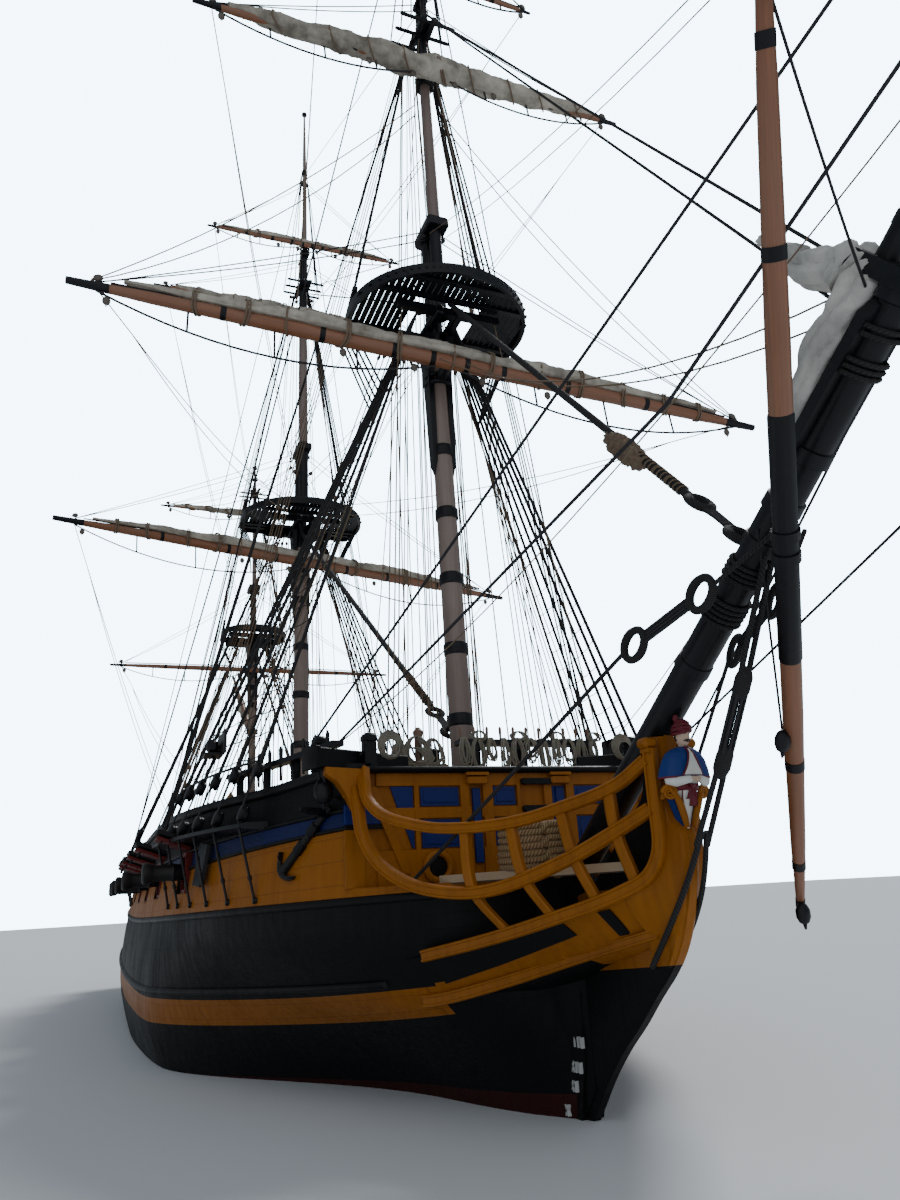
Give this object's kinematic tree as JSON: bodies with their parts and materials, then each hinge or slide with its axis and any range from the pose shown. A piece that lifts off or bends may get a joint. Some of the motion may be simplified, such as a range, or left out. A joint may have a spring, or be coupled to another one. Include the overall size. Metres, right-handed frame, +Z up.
{
  "type": "three-masted tall ship, half-size scale model",
  "caption": "Wooden square-rigged sailing ship with gun ports, a railed beakhead, a figurehead, a long bowsprit and furled sails, afloat.",
  "frame": {"origin": "on the centreline, halfway between stem and sternpost, at the waterline", "axes": "+X to the bow, +Y to port, +Z up"},
  "size_m": [23.3001, 8.2163, 18.8157],
  "materials": {
    "hull_paint": "black gloss paint with ochre bands",
    "ochre_paint": "ochre gloss paint",
    "deck_wood": "weathered planking",
    "mast_wood": "oiled, with black bands",
    "varnished_spar": "varnished, with black ends",
    "black_spar": "black gloss paint",
    "canvas": "weathered sailcloth",
    "tarred_rope": "tarred",
    "iron": "black painted",
    "figure_paint": "painted carving"
  },
  "bodies": {
    "hull": {"hull": "hull_paint", "keel_and_stem": "hull_paint", "bowsprit": "black_spar", "jibboom": "black_spar", "head_knee": "ochre_paint", "head_rails_port": "ochre_paint", "head_rails_starboard": "ochre_paint", "beakhead_bulkhead": "ochre_paint", "head_floor": "deck_wood", "cathead_port": "hull_paint", "cathead_starboard": "hull_paint", "anchor_port": "iron", "anchor_starboard": "iron", "figurehead": "figure_paint", "fore_lower_mast": "mast_wood", "fore_top": "black_spar", "fore_topmast": "varnished_spar", "fore_topgallant_mast": "varnished_spar", "main_lower_mast": "mast_wood", "main_top": "black_spar", "main_topmast": "varnished_spar", "main_topgallant_mast": "varnished_spar", "mizzen_lower_mast": "mast_wood", "mizzen_top": "black_spar", "mizzen_topmast": "varnished_spar", "fore_shrouds_port": "tarred_rope", "fore_shrouds_starboard": "tarred_rope", "main_shrouds_port": "tarred_rope", "main_shrouds_starboard": "tarred_rope", "mizzen_shrouds_port": "tarred_rope", "mizzen_shrouds_starboard": "tarred_rope", "fore_stay": "tarred_rope", "main_stay": "tarred_rope", "mizzen_stay": "tarred_rope", "fore_topmast_stay": "tarred_rope", "main_topmast_stay": "tarred_rope", "bobstay": "tarred_rope"},
    "rudder": {"rudder": "hull_paint"},
    "fore_yard": {"fore_yard": "varnished_spar", "fore_sail": "canvas"},
    "fore_topsail_yard": {"fore_topsail_yard": "varnished_spar", "fore_topsail_sail": "canvas"},
    "fore_topgallant_yard": {"fore_topgallant_yard": "varnished_spar"},
    "main_yard": {"main_yard": "varnished_spar", "main_sail": "canvas"},
    "main_topsail_yard": {"main_topsail_yard": "varnished_spar", "main_topsail_sail": "canvas"},
    "main_topgallant_yard": {"main_topgallant_yard": "varnished_spar", "main_topgallant_sail": "canvas"},
    "crossjack_yard": {"crossjack_yard": "varnished_spar"},
    "mizzen_topsail_yard": {"mizzen_topsail_yard": "varnished_spar", "mizzen_topsail_sail": "canvas"},
    "gaff": {"gaff": "varnished_spar", "spanker": "canvas"},
    "boom": {"boom": "varnished_spar"},
    "spritsail_yard": {"spritsail_yard": "varnished_spar"}
  },
  "joints": [
    {"name": "rudder_steer", "type": "hinge", "parent": "hull", "child": "rudder", "pos_m": [-7.5803, 0, 0], "axis": [0, 0, 1], "range_deg": [-35, 35]},
    {"name": "fore_yard_brace", "type": "hinge", "parent": "hull", "child": "fore_yard", "pos_m": [5.705, 0, 0], "axis": [-0.0178, 0, 0.9998], "range_deg": [-18, 25]},
    {"name": "fore_topsail_yard_brace", "type": "hinge", "parent": "hull", "child": "fore_topsail_yard", "pos_m": [5.91309, 0, 0.0037], "axis": [-0.0178, 0, 0.9998], "range_deg": [-27, 16]},
    {"name": "fore_topgallant_yard_brace", "type": "hinge", "parent": "hull", "child": "fore_topgallant_yard", "pos_m": [6.04908, 0, 0.00612], "axis": [-0.0178, 0, 0.9998], "range_deg": [-22, 22]},
    {"name": "main_yard_brace", "type": "hinge", "parent": "hull", "child": "main_yard", "pos_m": [-1.24, 0, 0], "axis": [-0.0018, 0, 1], "range_deg": [-34, 9]},
    {"name": "main_topsail_yard_brace", "type": "hinge", "parent": "hull", "child": "main_topsail_yard", "pos_m": [-0.99488, 0, 0.00044], "axis": [-0.0018, 0, 1], "range_deg": [-24, 20]},
    {"name": "main_topgallant_yard_brace", "type": "hinge", "parent": "hull", "child": "main_topgallant_yard", "pos_m": [-0.83468, 0, 0.00073], "axis": [-0.0018, 0, 1], "range_deg": [-23, 20]},
    {"name": "crossjack_yard_brace", "type": "hinge", "parent": "hull", "child": "crossjack_yard", "pos_m": [-5.9, 0, 0], "axis": [-0.0565, 0, 0.9984], "range_deg": [-11, 28]},
    {"name": "mizzen_topsail_yard_brace", "type": "hinge", "parent": "hull", "child": "mizzen_topsail_yard", "pos_m": [-5.743, 0, 0.00889], "axis": [-0.0565, 0, 0.9984], "range_deg": [-22, 22]},
    {"name": "gaff_swing", "type": "hinge", "parent": "hull", "child": "gaff", "pos_m": [-5.9, 0, 0], "axis": [-0.0565, 0, 0.9984], "range_deg": [-30, 30]},
    {"name": "boom_swing", "type": "hinge", "parent": "hull", "child": "boom", "pos_m": [-5.9, 0, 0], "axis": [-0.0565, 0, 0.9984], "range_deg": [-40, 40]},
    {"name": "spritsail_yard_swing", "type": "hinge", "parent": "hull", "child": "spritsail_yard", "pos_m": [10.21, -0.175, 2.95], "axis": [0.4996, -0.4754, -0.7241], "range_deg": [0, 60]}
  ]
}
